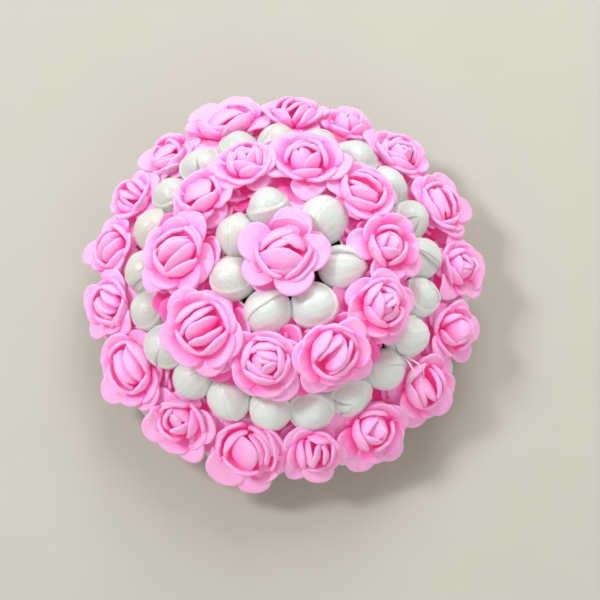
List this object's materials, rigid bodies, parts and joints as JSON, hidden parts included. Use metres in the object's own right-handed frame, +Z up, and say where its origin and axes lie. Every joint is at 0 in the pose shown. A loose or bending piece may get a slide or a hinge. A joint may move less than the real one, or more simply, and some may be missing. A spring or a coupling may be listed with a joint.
{
  "type": "artificial flower hair garland, a domed bun cover of foam roses and satin buds",
  "caption": "Domed hair-bun garland: foam roses and satin buds sewn in rings on a hollow cloth cap, open below for the bun.",
  "frame": {"origin": "centre of the opening, in the plane of the hem that the dome stands on", "axes": "+Z up through the centre rose at the crown; +Y away from the viewer of the picture, +X to the viewer's right"},
  "size_m": [0.1156, 0.1152, 0.0558],
  "materials": {
    "rose_foam": "soft matte foam, pink",
    "bud_satin": "pearly white satin",
    "cap_cloth": "black woven cloth",
    "thread": "white sewing thread"
  },
  "bodies": {
    "root": {"centre_rose": "rose_foam", "cloth_cap": "cap_cloth", "crown_bud_1": "bud_satin", "crown_bud_2": "bud_satin", "crown_bud_3": "bud_satin", "crown_bud_4": "bud_satin", "crown_bud_5": "bud_satin", "crown_bud_6": "bud_satin", "crown_bud_7": "bud_satin", "crown_thread": "thread", "inner_rose_01": "rose_foam", "inner_rose_02": "rose_foam", "inner_rose_03": "rose_foam", "inner_rose_04": "rose_foam", "inner_rose_05": "rose_foam", "inner_rose_06": "rose_foam", "inner_rose_07": "rose_foam", "inner_rose_08": "rose_foam", "inner_rose_09": "rose_foam", "inner_rose_10": "rose_foam", "middle_bud_string": "bud_satin", "middle_thread": "thread", "outer_rose_01": "rose_foam", "outer_rose_02": "rose_foam", "outer_rose_03": "rose_foam", "outer_rose_04": "rose_foam", "outer_rose_05": "rose_foam", "outer_rose_06": "rose_foam", "outer_rose_07": "rose_foam", "outer_rose_08": "rose_foam", "outer_rose_09": "rose_foam", "outer_rose_10": "rose_foam", "outer_rose_11": "rose_foam", "outer_rose_12": "rose_foam", "outer_rose_13": "rose_foam", "outer_rose_14": "rose_foam", "outer_rose_15": "rose_foam", "outer_rose_16": "rose_foam", "outer_rose_17": "rose_foam", "rim_bud_string": "bud_satin", "rim_thread": "thread"}
  },
  "joints": []
}
